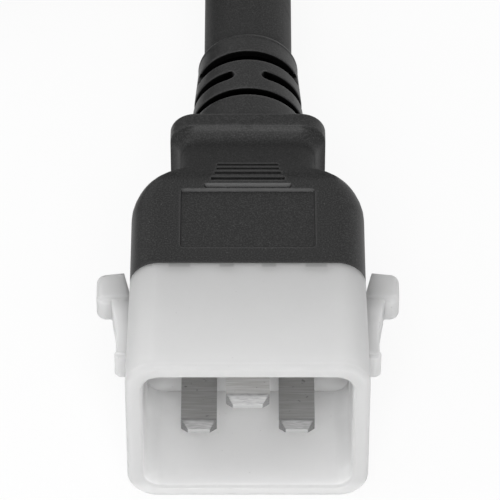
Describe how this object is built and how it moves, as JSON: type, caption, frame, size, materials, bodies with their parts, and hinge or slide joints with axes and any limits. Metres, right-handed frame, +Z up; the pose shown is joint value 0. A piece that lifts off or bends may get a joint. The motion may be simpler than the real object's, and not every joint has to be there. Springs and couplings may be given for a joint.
{
  "type": "locking power cord",
  "caption": "Black power cord with a white shrouded flat-blade plug, side squeeze latches, a moulded grip, a coiled cable and a plain far-end connector.",
  "frame": {"origin": "on the resting surface, under the middle of the plug", "axes": "+X to the right seen from the mouth with the earth blade on top, +Y back along the plug towards its cable, +Z up"},
  "size_m": [0.1986, 0.2665, 0.0274],
  "materials": {
    "white_nylon": "satin moulded nylon",
    "black_vinyl": "matte moulded vinyl",
    "black_core": "satin hard plastic",
    "nickel": "brushed nickel plate",
    "contact_brass": "bright",
    "cable_sheath": "matte vinyl sheath",
    "tie_strap": "woven strap",
    "line_core": "smooth",
    "neutral_core": "smooth",
    "earth_core": "smooth"
  },
  "bodies": {
    "cord": {"shroud_insert": "white_nylon", "plug_grip": "black_vinyl", "line_blade": "nickel", "neutral_blade": "nickel", "earth_blade": "nickel", "plug_line_core": "line_core", "plug_neutral_core": "neutral_core", "plug_earth_core": "earth_core", "cable_lead": "cable_sheath", "cable_coil": "cable_sheath", "coil_tie": "tie_strap", "cable_tail": "cable_sheath", "connector_core": "black_core", "connector_grip": "black_vinyl", "line_contact": "contact_brass", "neutral_contact": "contact_brass", "earth_contact": "contact_brass", "connector_line_core": "line_core", "connector_neutral_core": "neutral_core", "connector_earth_core": "earth_core"},
    "left_latch": {"latch_left": "white_nylon"},
    "right_latch": {"latch_right": "white_nylon"}
  },
  "joints": [
    {"name": "left_squeeze", "type": "hinge", "parent": "cord", "child": "left_latch", "pos_m": [-0.01526, -0.02935, 0.0126], "axis": [0, 0, -1], "range_deg": [0, 3], "stiffness_Nm_per_rad": 2},
    {"name": "right_squeeze", "type": "hinge", "parent": "cord", "child": "right_latch", "pos_m": [0.01526, -0.02935, 0.0126], "axis": [0, 0, 1], "range_deg": [0, 3], "stiffness_Nm_per_rad": 2}
  ]
}
